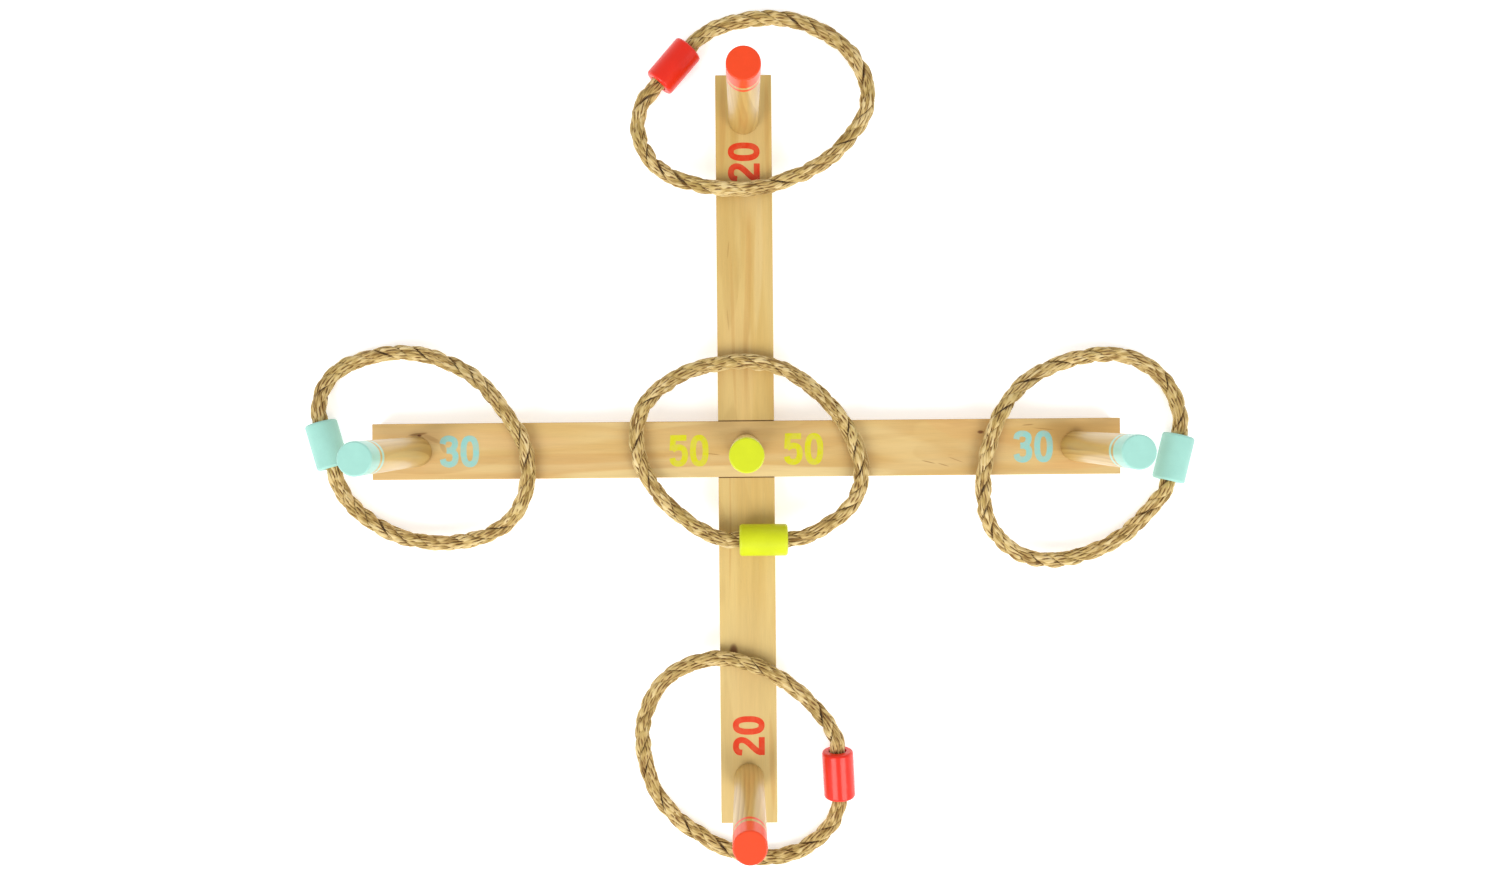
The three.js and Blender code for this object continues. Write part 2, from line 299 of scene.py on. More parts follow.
class Shader:
    """A material and its node tree, with short ways to add the nodes that are used here."""

    def __init__(self, name):
        self.material = bpy.data.materials.new(name)
        self.material.use_nodes = True
        self.tree = self.material.node_tree
        self.surface = self.tree.nodes["Principled BSDF"]

    def put(self, socket, value):
        if isinstance(value, bpy.types.NodeSocket):
            self.tree.links.new(value, socket)
        elif value is not None:
            socket.default_value = value

    def node(self, kind, inputs=(), **settings):
        made = self.tree.nodes.new(kind)
        for key, value in settings.items():
            setattr(made, key, value)
        for key, value in dict(inputs).items():
            self.put(made.inputs[key], value)
        return made

    def math(self, operation, a, b=None, c=None):
        inputs = {i: v for i, v in enumerate((a, b, c)) if v is not None}
        return self.node("ShaderNodeMath", inputs, operation=operation).outputs[0]

    def times(self, a, b):
        return self.math("MULTIPLY", a, b)

    def less(self, a, b):
        return self.math("SUBTRACT", a, b)

    def total(self, *terms):
        """The sum of products, each given as (a, b)."""
        result = self.math("MULTIPLY", *terms[0])
        for a, b in terms[1:]:
            result = self.math("MULTIPLY_ADD", a, b, result)
        return result

    def place(self):
        """The point's own place in the frame, and its three parts."""
        point = self.node("ShaderNodeTexCoord").outputs["Object"]
        parts = self.node("ShaderNodeSeparateXYZ", {0: point})
        return point, parts.outputs[0], parts.outputs[1], parts.outputs[2]

    def join(self, x, y, z):
        return self.node("ShaderNodeCombineXYZ", {0: x, 1: y, 2: z}).outputs[0]

    def attribute(self, name, output="Fac"):
        return self.node("ShaderNodeAttribute", attribute_name=name).outputs[output]

    def noise(self, vector, scale, offset=(0, 0, 0), detail=3.0, rough=0.5, distortion=0.0):
        """Noise with one scale, or with a scale and an offset for each direction."""
        if isinstance(scale, tuple):
            vector = self.node(
                "ShaderNodeVectorMath", {0: vector, 1: scale, 2: offset}, operation="MULTIPLY_ADD",
            ).outputs[0]
            scale = 1.0
        return self.node("ShaderNodeTexNoise", {
            "Vector": vector, "Scale": scale, "Detail": detail, "Roughness": rough,
            "Distortion": distortion,
        }).outputs["Fac"]

    def ease(self, value, low, high, to_low=0.0, to_high=1.0):
        """A smooth step of value between low and high."""
        return self.node("ShaderNodeMapRange", {
            "Value": value, "From Min": low, "From Max": high, "To Min": to_low, "To Max": to_high,
        }, interpolation_type="SMOOTHSTEP").outputs[0]

    def mix(self, factor, a, b, blend="MIX"):
        made = self.node("ShaderNodeMix", data_type="RGBA", blend_type=blend, clamp_factor=True)
        sockets = {s.identifier: s for s in made.inputs}
        self.put(sockets["Factor_Float"], factor)
        self.put(sockets["A_Color"], a)
        self.put(sockets["B_Color"], b)
        return next(s for s in made.outputs if s.identifier == "Result_Color")

    def mottled(self, colour, field, amount, dark, light):
        """A colour made darker and lighter by a noise."""
        tones = self.ramp(field, [(0.3, grey(dark)), (0.7, grey(light))])
        return self.mix(amount, colour, tones, "MULTIPLY")

    def ramp(self, factor, stops):
        """A colour ramp from (position, colour) stops."""
        made = self.node("ShaderNodeValToRGB", {0: factor})
        elements = made.color_ramp.elements
        while len(elements) < len(stops):
            elements.new(0.5)
        for element, (position, colour) in zip(elements, stops):
            element.position = position
            element.color = colour
        return made.outputs[0]

    def bump(self, height, distance, strength=1.0, under=None):
        inputs = {"Height": height, "Distance": distance, "Strength": strength, "Normal": under}
        return self.node("ShaderNodeBump", inputs).outputs[0]

    def finish(self, colour, rough, normal=None, **constant):
        """Gives the surface its colour, roughness and normal, and sets its other sockets."""
        for key, value in (("Base Color", colour), ("Roughness", rough), ("Normal", normal)):
            self.put(self.surface.inputs[key], value)
        for key, value in constant.items():
            self.surface.inputs[key.replace("_", " ")].default_value = value
        return self.material


def rgb(red, green, blue):
    """A linear colour from 0 to 255 display values."""
    def linear(value):
        value /= 255
        return value / 12.92 if value <= 0.04045 else ((value + 0.055) / 1.055) ** 2.4
    return (linear(red), linear(green), linear(blue), 1.0)


def grey(value):
    return (value, value, value, 1.0)


PAINTS = {
    "red": rgb(230, 66, 16),
    "mint": rgb(154, 207, 194),
    "lime": rgb(200, 210, 18),
}
BEAD_RED = rgb(224, 34, 6)
PINE_PALE = rgb(208, 180, 126)
PINE_LATE = rgb(176, 134, 74)
PINE_KNOT_AND_GAP_SHADE = rgb(106, 58, 26)
PINE_CREAM = rgb(222, 198, 140)
PINE_STRAW = rgb(206, 182, 124)
PINE_HONEY = rgb(192, 146, 78)
PINE_TAN_AND_SHADE = rgb(206, 158, 98)
PINE_TICK = rgb(140, 96, 46)
SISAL_CREVICE_SHADE = rgb(116, 74, 18)
SISAL_DARK = rgb(124, 90, 28)
SISAL_MID = rgb(178, 148, 84)
SISAL_PALE = rgb(204, 176, 114)
SISAL_LIGHT = rgb(222, 200, 146)
SISAL_GREEN = rgb(178, 156, 82)

PAINT_CAP_LOW = PEG_TOP - mm(17.5)
PAINT_STRIPE = (PAINT_CAP_LOW - mm(8), PAINT_CAP_LOW - mm(4))
PAINT_SOFT = mm(0.12)
# Width of the painted shade along the top of the planks' joint.
LAP_SHADE = mm(0.6)
END_GRAIN = mm(0.8)
PLANK_EASE = mm(0.6)            # rounding of the planks' outer edges, which the CAD leaves square


def patch(mat, along, across, at, size, amount, tilt, core):
    """A soft-edged long patch: its amount in the middle, and 0 outside it."""
    sine, cosine = math.sin(math.radians(tilt)), math.cos(math.radians(tilt))
    half_length, half_width = mm(size[0]), mm(size[1])
    a = mat.less(along, mm(at[0]))
    b = mat.less(across, mm(at[1]))
    long = mat.total((a, cosine / half_length), (b, sine / half_length))
    wide = mat.total((a, -sine / half_width), (b, cosine / half_width))
    squared = mat.total((long, long), (wide, wide))
    return mat.ease(squared, 1.25, core, 0, amount)


def pine_colour(mat, along, across, up, look):
    """Pine as its log grew: rings round a pith, streaks along the grain, patches and knots.

    Returns the colour, and a height for its bump."""
    grain = mat.join(along, across, up)
    seed = look["seed"]
    wander = mat.noise(grain, (4.5, 16, 16), (seed, 0, 0), detail=2)
    shift = mat.times(mat.less(wander, 0.5), look["wander"])

    knot_dark = None
    for place, side, size in look["knots"]:
        far_along = mat.math("DIVIDE", mat.less(along, mm(place)), mm(size) * 1.9)
        far_across = mat.math("DIVIDE", mat.less(across, mm(side)), mm(size))
        squared = mat.total((far_along, far_along), (far_across, far_across))
        swell = mat.math("DIVIDE", 1.0, mat.math("ADD", squared, 1.0))
        shift = mat.math("MULTIPLY_ADD", swell, mm(size) * 2.4, shift)
        core = mat.ease(squared, 1.3, 0.15)
        knot_dark = core if knot_dark is None else mat.math("MAXIMUM", knot_dark, core)

    pith_across, pith_up = look["pith"]
    from_pith = mat.less(across, mm(pith_across))
    over_pith = mat.less(up, mm(pith_up))
    distance = mat.math("SQRT", mat.total((from_pith, from_pith), (over_pith, over_pith)))
    distance = mat.math("ADD", distance, shift)
    year = mat.math("FRACT", mat.math("DIVIDE", distance, mm(look["ring"])))
    late = mat.times(mat.ease(year, 0.15, 0.88), mat.ease(year, 1.0, 0.92))
    shown = mat.noise(grain, (6, 40, 40), (seed, 0, seed), detail=1)
    late = mat.times(late, mat.ease(shown, 0.34, 0.66, 0.2, 1.0))

    broad = mat.noise(grain, (5, 55, 55), (0, seed, 0), detail=2, distortion=0.4)
    blush = mat.noise(grain, (7, 30, 30), (seed, seed, 0), detail=1)
    streak = mat.noise(grain, (14, 330, 330), (0, seed, seed), detail=2)
    fibre = mat.noise(grain, (70, 2600, 2600), detail=2)

    colour = mat.mix(mat.ease(broad, 0.36, 0.64), look["pale"], look["gold"])
    colour = mat.mix(mat.ease(blush, 0.45, 0.7, 0, 0.5), colour, look["blush"])
    bent = mat.math("ADD", across, mat.times(shift, 0.25))
    for at, size, tint, amount, tilt, core in look["patches"]:
        strength = patch(mat, along, bent, at, size, amount, tilt, core)
        colour = mat.mix(strength, colour, tint)
    late_amount = mat.times(late, look["contrast"])
    colour = mat.mix(late_amount, colour, look["late"])
    colour = mat.mottled(colour, streak, 0.22, 0.84, 1.1)
    colour = mat.mottled(colour, fibre, 0.3, 0.82, 1.1)
    fleck = mat.noise(grain, (110, 1100, 1100), (seed, 0, 0), detail=1)
    colour = mat.mix(mat.ease(fleck, 0.74, 0.8, 0, 0.35), colour, look["late"])
    if knot_dark is not None:
        colour = mat.mix(mat.times(knot_dark, 0.85), colour, PINE_KNOT_AND_GAP_SHADE)
    height = mat.total((late, 0.5), (streak, 0.35), (fibre, 0.5))
    return colour, height


def plank_material(name, grain_axis, look):
    mat = Shader(name)
    _, x, y, z = mat.place()
    along, across = (x, y) if grain_axis == "X" else (y, x)
    colour, height = pine_colour(mat, along, across, z, look)
    end = mat.ease(mat.math("ABSOLUTE", along), PLANK_LENGTH / 2 - END_GRAIN, PLANK_LENGTH / 2)
    colour = mat.mix(mat.times(end, 0.35), colour, PINE_LATE)
    # Painted shade: a thin dark line on the top faces along the joint between the planks, where the
    # lap's narrow gap falls dark.
    lap = PLANK_WIDTH / 2 + LAP_GAP
    by_lap = mat.less(mat.math("ABSOLUTE", along), lap)
    by_edge = mat.math("ABSOLUTE", across)
    if grain_axis == "X":
        by_edge = mat.ease(by_edge, PLANK_WIDTH / 2 - LAP_SHADE, PLANK_WIDTH / 2)
        gap_shade = mat.times(by_edge, mat.ease(by_lap, mm(0.2), -mm(0.4)))
    else:
        gap_shade = mat.ease(mat.math("ABSOLUTE", by_lap), LAP_SHADE, mm(0.1))
    top = mat.ease(z, PLANK_THICK - mm(1.2), PLANK_THICK - mm(0.3), 0, 0.8)
    colour = mat.mix(mat.times(gap_shade, top), colour, PINE_KNOT_AND_GAP_SHADE)
    rough = mat.math("MULTIPLY_ADD", height, 0.12, 0.36)
    normal = mat.bump(height, mm(0.12), 0.5)
    return mat.finish(
        colour, rough, normal, Coat_Weight=0.1, Coat_Roughness=0.3, IOR=1.4, Specular_IOR_Level=0.4,
    )


def peg_material(name, home):
    """A lacquered pine dowel with a painted top and one painted ring under it."""
    mat = Shader(name)
    _, x, y, z = mat.place()
    look = dict(PEG_LOOK, seed=home["seed"])
    x = mat.less(x, home["at"][0])
    y = mat.less(y, home["at"][1])
    wood, height = pine_colour(mat, z, x, y, look)
    around = mat.noise(mat.join(x, y, z), (260, 260, 60), detail=2)
    wavy = mat.math("MULTIPLY_ADD", mat.less(around, 0.5), mm(0.9), z)
    cap = mat.ease(wavy, PAINT_CAP_LOW - PAINT_SOFT, PAINT_CAP_LOW + PAINT_SOFT)
    stripe = mat.times(
        mat.ease(wavy, PAINT_STRIPE[0] - PAINT_SOFT, PAINT_STRIPE[0] + PAINT_SOFT),
        mat.ease(wavy, PAINT_STRIPE[1] + PAINT_SOFT, PAINT_STRIPE[1] - PAINT_SOFT),
    )
    painted = mat.math("MAXIMUM", cap, stripe)
    patchy = mat.noise(mat.join(x, y, z), (120, 120, 60), detail=3)
    film = mat.mottled(PAINTS[home["paint"]], patchy, 0.5, 0.93, 1.05)
    colour = mat.mix(painted, wood, film)
    rough = mat.math("MULTIPLY_ADD", height, 0.1, 0.34)
    relief = mat.math("MULTIPLY_ADD", painted, 0.6, mat.times(height, 0.4))
    normal = mat.bump(relief, mm(0.08), 0.5)
    return mat.finish(
        colour, rough, normal, Coat_Weight=0.3, Coat_Roughness=0.16, IOR=1.38, Coat_IOR=1.45,
    )


# Places along and across each plank, and sizes, in millimetres. A knot is its place and its half
# width. A patch is its middle, half sizes, colour, strength, tilt in degrees, and the squared
# distance out to which it is at full strength, where its edge is 1.
UPPER_LOOK = {
    "seed": 3.7, "pith": (6, -62), "ring": 6.2, "wander": 0.05, "contrast": 0.24,
    "pale": rgb(213, 185, 127), "gold": rgb(205, 170, 105), "blush": rgb(209, 167, 110),
    "late": rgb(176, 128, 66),
    "knots": [(188, 12, 1.5), (-262, 13, 1.0)],
    "patches": [
        ((-30, -18.5), (115, 6), PINE_CREAM, 0.7, 0, 0.75),
        ((60, -19), (60, 4.5), PINE_CREAM, 0.6, 0, 0.75),
        ((-160, -5.5), (120, 4.5), PINE_HONEY, 0.5, 1, 0.3),
        # Faint tan over the middle, round the centre peg: partly the wood's own tone, partly painted
        # shadow of the peg.
        ((5, 6), (75, 17), PINE_TAN_AND_SHADE, 0.12, 0, 0.3),
        ((-210, 10), (80, 8), PINE_TAN_AND_SHADE, 0.35, -3, 0.3),
        ((200, 0), (140, 30), PINE_HONEY, 0.25, 0, 0.3),
        ((118, 2), (46, 12), PINE_CREAM, 0.35, -16, 0.3),
        ((176, 17), (46, 13), PINE_TAN_AND_SHADE, 0.3, -24, 0.8),
        ((205, -6), (42, 9), PINE_CREAM, 0.25, -14, 0.3),
        ((282, 13), (48, 12), PINE_HONEY, 0.4, 0, 0.3),
        ((270, -16), (40, 5), PINE_TAN_AND_SHADE, 0.4, 4, 0.3),
        ((146, -12.5), (6, 0.5), PINE_TICK, 0.6, -14, 0.3),
        ((158, -15), (5, 0.45), PINE_TICK, 0.55, -18, 0.3),
        ((168, -11), (7, 0.45), PINE_TICK, 0.45, -22, 0.3),
        ((226, 17.2), (5, 0.5), PINE_TICK, 0.6, 4, 0.3),
        ((238, 14), (9, 0.45), PINE_TICK, 0.45, -6, 0.3),
        ((-27, -3.6), (6, 0.4), PINE_TICK, 0.6, -8, 0.3),
        ((-268, -8), (16, 0.5), PINE_TICK, 0.35, 6, 0.3),
        ((-263, 14.6), (8, 1.1), PINE_TICK, 0.7, 6, 0.3),
        ((-252, 10.5), (9, 2.0), PINE_TICK, 0.3, -28, 0.3),
        ((-243, 3), (5, 2.2), PINE_TICK, 0.3, -64, 0.3),
    ],
}
LOWER_LOOK = {
    "seed": 8.2, "pith": (-20, -60), "ring": 7.0, "wander": 0.04, "contrast": 0.2,
    "pale": rgb(212, 183, 116), "gold": rgb(203, 169, 98), "blush": rgb(207, 171, 110),
    "late": rgb(172, 134, 66),
    "knots": [(-162.5, -11.5, 3.6)],
    "patches": [
        ((-230, 0), (110, 34), PINE_STRAW, 0.45, 0, 0.5),
        ((120, 3), (84, 3), PINE_HONEY, 0.4, 1, 0.3),
        ((95, -9), (70, 1.6), PINE_HONEY, 0.35, -1.5, 0.3),
        ((150, 12), (60, 4), PINE_CREAM, 0.4, 2, 0.3),
        ((262, -17), (42, 3), PINE_HONEY, 0.5, 1, 0.3),
        ((255, 19), (50, 2.2), PINE_HONEY, 0.45, -1, 0.3),
        ((250, 6), (70, 12), PINE_CREAM, 0.4, 0, 0.3),
        ((-60, -14), (60, 0.8), PINE_HONEY, 0.45, 1, 0.3),
        ((-252, 17), (40, 2.4), PINE_HONEY, 0.4, -2, 0.3),
        ((160, -12.5), (8, 0.5), PINE_TICK, 0.35, 5, 0.3),
        ((104, -13), (10, 0.5), PINE_TICK, 0.3, -5, 0.3),
    ],
}
PEG_LOOK = {
    "pith": (-22, 7), "ring": 3.6, "wander": 0.018, "contrast": 0.62,
    "pale": rgb(202, 172, 104), "gold": rgb(190, 156, 84), "blush": rgb(192, 159, 88),
    "late": rgb(150, 108, 48),
    "knots": [], "patches": [],
}


def paint_material(name, colour, rough, coat, coat_rough):
    """Enamel brushed on turned wood: faint orange peel, and tone that varies a little."""
    mat = Shader(name)
    point = mat.place()[0]
    broad = mat.noise(point, 70, detail=2)
    fine = mat.noise(point, 900, detail=2)
    film = mat.mottled(colour, broad, 0.6, 0.93, 1.06)
    film = mat.mottled(film, fine, 0.3, 0.94, 1.05)
    roughness = mat.math("MULTIPLY_ADD", broad, 0.1, rough - 0.05)
    normal = mat.bump(fine, mm(0.03), 0.6, mat.bump(broad, mm(0.3), 0.4))
    return mat.finish(
        film, roughness, normal,
        Coat_Weight=coat, Coat_Roughness=coat_rough, IOR=1.4, Specular_IOR_Level=0.35,
    )


def numeral_material(name, colour, cover):
    """Stencilled score: thin paint that lets the wood's streaks show."""
    mat = Shader(name)
    point, *_ = mat.place()
    blotch = mat.noise(point, 160, detail=4, rough=0.6)
    pores = mat.noise(point, 1400, detail=2)
    thin = mat.ease(blotch, 0.36, 0.62, 1 - cover, 0)
    film = mat.mix(thin, colour, PINE_PALE)
    film = mat.mottled(film, pores, 0.4, 0.9, 1.06)
    roughness = mat.math("MULTIPLY_ADD", pores, 0.15, 0.38)
    normal = mat.bump(pores, mm(0.04), 0.5)
    return mat.finish(
        film, roughness, normal,
        Coat_Weight=0.05, Coat_Roughness=0.3, IOR=1.4, Specular_IOR_Level=0.3,
    )


def sisal_material():
    """Sisal: pale straw fibres along each yarn, with painted shade where the yarns and strands meet
    and toward the rope's core.
    """
    mat = Shader("sisal_fibre")
    lay = mat.attribute("yarn_place", "Vector")
    lit_crown = mat.attribute("yarn_lit_crown")
    tone = mat.attribute("yarn_tone")
    fibre = mat.noise(lay, (1050, 1050, 90), detail=3, rough=0.6)
    strand = mat.noise(lay, (420, 420, 45), (5, 0, 0), detail=2)
    green = mat.noise(mat.place()[0], 38, detail=2)
    colour = mat.ramp(
        mat.total((fibre, 0.65), (strand, 0.35), (tone, 0.22)),
        [(0.42, SISAL_DARK), (0.54, SISAL_MID), (0.65, SISAL_PALE), (0.78, SISAL_LIGHT)],
    )
    colour = mat.mix(mat.ease(green, 0.4, 0.7, 0, 0.35), colour, SISAL_GREEN)
    # Painted shade: darker brown where the lit crown is low, in the crevices and toward the rope's
    # core.
    colour = mat.mix(mat.ease(lit_crown, 0.75, 0.0, 0, 0.9), colour, SISAL_CREVICE_SHADE)
    rough = mat.math("MULTIPLY_ADD", fibre, 0.2, 0.62)
    height = mat.total((fibre, 0.6), (strand, 0.4))
    normal = mat.bump(height, mm(0.4), 0.7)
    return mat.finish(colour, rough, normal, Sheen_Weight=0.15, Sheen_Roughness=0.5, IOR=1.45)


def metal_material(name, colour, rough):
    """Plated metal with fine scratches and dull patches."""
    mat = Shader(name)
    point = mat.place()[0]
    dull = mat.noise(point, 240, detail=3)
    scratch = mat.noise(point, (900, 900, 4200), detail=2)
    tint = mat.mottled(colour, dull, 0.7, 0.8, 1.08)
    roughness = mat.total((dull, 0.16), (scratch, 0.12), (rough, 1.0))
    normal = mat.bump(scratch, mm(0.02), 0.5)
    return mat.finish(tint, roughness, normal, Metallic=1.0)


# ---- rope rings

STRANDS = 3
HELIX_RADIUS = mm(2.9)
STRAND_DEEP = mm(3.4)           # a strand's half size outward, and along the rope's surface
STRAND_WIDE = mm(4.15)
STRAND_APART = mm(0.02)
ROPE_LAY = mm(48)
YARN_LAY = mm(60)
YARNS = 8
POINTS_PER_YARN = 6
ROPE_STEP = mm(1.2)
YARN_DEPTH = 0.22
STRAY_FIBRES = 110
STRAY_RADIUS = mm(0.11)
STRAY_POINTS = 7
LYING_RADIUS = mm(0.45)


def waves(length, shortest, longest, count, draw):
    """A smooth random curve along a length, between about -1 and 1."""
    total = np.zeros_like(length)
    for _ in range(count):
        span = shortest * (longest / shortest) ** draw.random()
        total += math.sqrt(2 / count) * np.sin(2 * math.pi * (length / span + draw.random()))
    return total


def bead_heading(ring):
    turn, rise = math.radians(ring["turn"]), math.radians(ring["rise"])
    flat = math.cos(rise)
    return np.array([math.cos(turn) * flat, math.sin(turn) * flat, math.sin(rise)])


def rope_line(ring):
    """The rope's centreline, from its end in the bead round to its other end there."""
    middle, ahead = mm(ring["bead"]), bead_heading(ring)
    start = [middle + ahead * d for d in (ROPE_END, BEAD_HALF / 2, BEAD_HALF)]
    end = [middle - ahead * d for d in (BEAD_HALF, BEAD_HALF / 2, ROPE_END)]
    return even_steps(catmull_rom([*start, *mm(ring["route"]), *end]), ROPE_STEP)


def on_its_side(outward, beside):
    """Presses a strand's section flat against the planes between it and its neighbours."""
    sine, cosine = math.sin(math.pi / STRANDS), math.cos(math.pi / STRANDS)
    past = STRAND_APART - (outward * sine - np.abs(beside) * cosine)
    past = np.maximum(past, 0)
    return outward + past * sine, beside - np.sign(beside) * past * cosine


def resting(points):
    """Points pressed up out of the planks and the ground that the rope lies on."""
    along, across = np.abs(points[..., 0]), np.abs(points[..., 1])
    half, side = PLANK_LENGTH / 2, PLANK_WIDTH / 2
    on_plank = ((along < half) & (across < side)) | ((along < side) & (across < half))
    over = points[..., 2] > PLANK_THICK / 2
    ground = np.where(on_plank & over, PLANK_THICK + mm(0.12), mm(0.05))
    points[..., 2] = np.maximum(points[..., 2], ground)
    return points


def strand_rows(line, along, side, up, number, draw):
    """One strand's rows of points, with each point's yarn place, lit crown and tone; a low lit crown
    marks painted shade in the crevices.
    """
    around = YARNS * POINTS_PER_YARN
    step = round_angles(around)
    drift = 0.2 * waves(along, mm(45), mm(160), 4, draw)
    turn = 2 * math.pi * (along / ROPE_LAY + number / STRANDS) + drift
    swell = 1 + 0.045 * waves(along, mm(16), mm(60), 5, draw)
    yarn = np.arange(around) // POINTS_PER_YARN
    in_yarn = np.arange(around) % POINTS_PER_YARN
    valley = np.array([1.0, 0.6, 0.12, 0.0, 0.12, 0.6])[in_yarn]

    def columns(count, shortest, longest, terms):
        return np.stack([waves(along, shortest, longest, terms, draw) for _ in range(count)], -1)

    gape = np.clip(0.75 + 0.9 * columns(YARNS, mm(7), mm(26), 5), 0.05, 1.6)[:, yarn]
    plump = columns(YARNS, mm(9), mm(60), 6)[:, yarn]
    rise = columns(around, mm(6), mm(30), 5)
    size = swell[:, None] * (1 - YARN_DEPTH * valley * gape + 0.045 * plump + 0.012 * rise)
    angle = step[None, :] - 2 * math.pi * along[:, None] / YARN_LAY - turn[:, None]
    outward = HELIX_RADIUS + STRAND_DEEP * size * np.cos(angle)
    beside = STRAND_WIDE * size * np.sin(angle)
    outward, beside = on_its_side(outward, beside)
    out = np.cos(turn)[:, None] * side + np.sin(turn)[:, None] * up
    over = np.cos(turn)[:, None] * up - np.sin(turn)[:, None] * side
    rows = line[:, None] + outward[..., None] * out[:, None] + beside[..., None] * over[:, None]
    # The lit crown: 1 on the yarns' outer crowns, lower in the crevices between yarns and on the
    # strand's side toward the rope's core; the material paints shade where it is low.
    from_middle = np.hypot(outward, beside)
    outer = np.clip((from_middle - mm(4.2)) / mm(0.7), 0, 1)
    lit_crown = (0.4 + 0.6 * outer) * (1 - np.clip(valley * gape, 0, 1))
    radius = (STRAND_DEEP + STRAND_WIDE) / 2
    still = np.zeros_like(angle)
    place = np.stack([
        radius * np.cos(step) + mm(20) * number + still,
        radius * np.sin(step) + still,
        along[:, None] + still,
    ], axis=-1)
    yarn_tone = np.array([draw.random() for _ in range(YARNS)])
    tone = yarn_tone[yarn] + 0.25 * plump
    return resting(rows), place, lit_crown, np.clip(tone, 0, 1)


def tapered_rows(line, sides, size):
    """A thin fibre's rows along a line, with its radius at each point."""
    _, wide, high = frames_along(line)
    turn = round_angles(sides)
    ring = np.cos(turn)[:, None, None] * wide + np.sin(turn)[:, None, None] * high
    return resting(line[:, None] + size[:, None, None] * np.swapaxes(ring, 0, 1))


def stray_rows(line, side, up, draw):
    """One loose fibre: it leaves the rope's surface along it and tapers to a point."""
    start = draw.randrange(20, len(line) - 36)
    reach = draw.uniform(mm(4), mm(15))
    lift = draw.uniform(mm(0.4), mm(2.6))
    angle = draw.uniform(0, 2 * math.pi)
    sway = draw.uniform(-0.9, 0.9)
    forward = draw.choice((-1, 1))
    spots = []
    for t in np.linspace(0, 1, STRAY_POINTS):
        at = start + forward * t * reach / ROPE_STEP
        low = int(np.clip(at, 0, len(line) - 2))
        part = at - low
        base = line[low] * (1 - part) + line[low + 1] * part
        spin = angle + sway * t
        out = math.cos(spin) * side[low] + math.sin(spin) * up[low]
        spots.append(base + out * (ROPE_DIAMETER / 2 - mm(0.5) + lift * t**1.6))
    thinning = 1 - 0.85 * np.linspace(0, 1, STRAY_POINTS)
    return tapered_rows(np.array(spots), 4, STRAY_RADIUS * thinning)


# The one long loose fibre in view, from the centre ring's east side, in millimetres.
LYING_FIBRE = [(89, 13, 28), (92, 8, 27), (94.5, 1.5, 24.5), (97, -7, 22.5), (99, -15, 21.4),
               (100.5, -21.5, 20.8)]


def add_sisal(name, place, verts, faces, places, lit_crowns, tones, replaced=()):
    """A sisal piece on a ring, with what its material reads stored on its points."""
    mesh = mesh_from(name, verts, faces)
    for key, kind, values in (
        ("yarn_place", "FLOAT_VECTOR", places), ("yarn_lit_crown", "FLOAT", lit_crowns),
        ("yarn_tone", "FLOAT", tones),
    ):
        layer = mesh.attributes.new(key, kind, "POINT")
        layer.data.foreach_set("vector" if values.ndim == 2 else "value", values.ravel())
    return add_piece(name, mesh, f"{place}_ring", sisal, replaced, sharp=80)


def add_rope(place, ring):
    draw = random.Random(PLACES[place]["seed"])
    line, along = rope_line(ring)
    _, side, up = frames_along(line)
    parts = [strand_rows(line, along, side, up, number, draw) for number in range(STRANDS)]
    for number in range(STRAY_FIBRES):
        rows = stray_rows(line, side, up, draw)
        flat = np.zeros(rows.shape[:2])
        spread = np.stack([flat, flat, flat + 0.01 * number], axis=-1)
        parts.append((rows, spread, flat + 0.9, flat + draw.uniform(0.5, 1)))

    verts, faces = joined(skin(part[0]) for part in parts)
    piece = add_sisal(
        f"rope_{place}", place, verts, faces,
        np.concatenate([part[1].reshape(-1, 3) for part in parts]),
        np.concatenate([part[2].ravel() for part in parts]),
        np.concatenate([part[3].ravel() for part in parts]), [f"ring_rope_{place}"],
    )
    if place == "centre":
        fibre = catmull_rom(mm(np.array(LYING_FIBRE, float)), 8)
        thinning = 1 - 0.7 * np.linspace(0, 1, len(fibre))
        verts, faces = skin(tapered_rows(fibre, 5, LYING_RADIUS * thinning))
        flat = np.zeros(len(verts))
        add_sisal(
            f"rope_fibre_{place}", place, verts, faces, verts, flat + 0.9, flat + 1,
        )


def add_bead(place, ring):
    """A bored, painted wooden cylinder with rounded ends."""
    outer = mm(2.2)
    inner = mm(0.7)
    quarter = [
        *corner(outer, (BEAD_RADIUS - outer, BEAD_HALF - outer), 0, 90),
        *corner(inner, (BORE_RADIUS + inner, BEAD_HALF - inner), 90, 180, 4),
    ]
    low = [(radius, -height) for radius, height in reversed(quarter)]
    rows = round_rows([*low, *quarter], 72)
    ahead = bead_heading(ring)
    across = np.cross((0, 0, 1), ahead)
    across /= np.linalg.norm(across)
    axes = np.array([across, np.cross(ahead, across), ahead])
    paint = PLACES[place]["paint"]
    even_flats(add_shell(
        f"bead_{place}", rows @ axes + mm(ring["bead"]), f"{place}_ring",
        bead_paint[paint], f"ring_bead_{place}", looped=True,
    ))


# ---- pegs and hardware

def add_peg(place, home):
    rim = PEG_RADIUS - PEG_EDGE
    foot_edge = mm(0.4)
    profile = [
        (PILOT_RADIUS, PILOT_TOP),
        (PILOT_RADIUS, PEG_FOOT),
        *corner(foot_edge, (PEG_RADIUS - foot_edge, PEG_FOOT + foot_edge), -90, 0, 3),
        *corner(PEG_EDGE, (rim, PEG_TOP - PEG_EDGE), 0, 90),
    ]
    even_flats(add_shell(
        f"dowel_{place}", round_rows(profile, 72, home["at"]), f"{place}_peg",
        peg_material(f"peg_{place}_finish", home), f"peg_{place}",
    ))


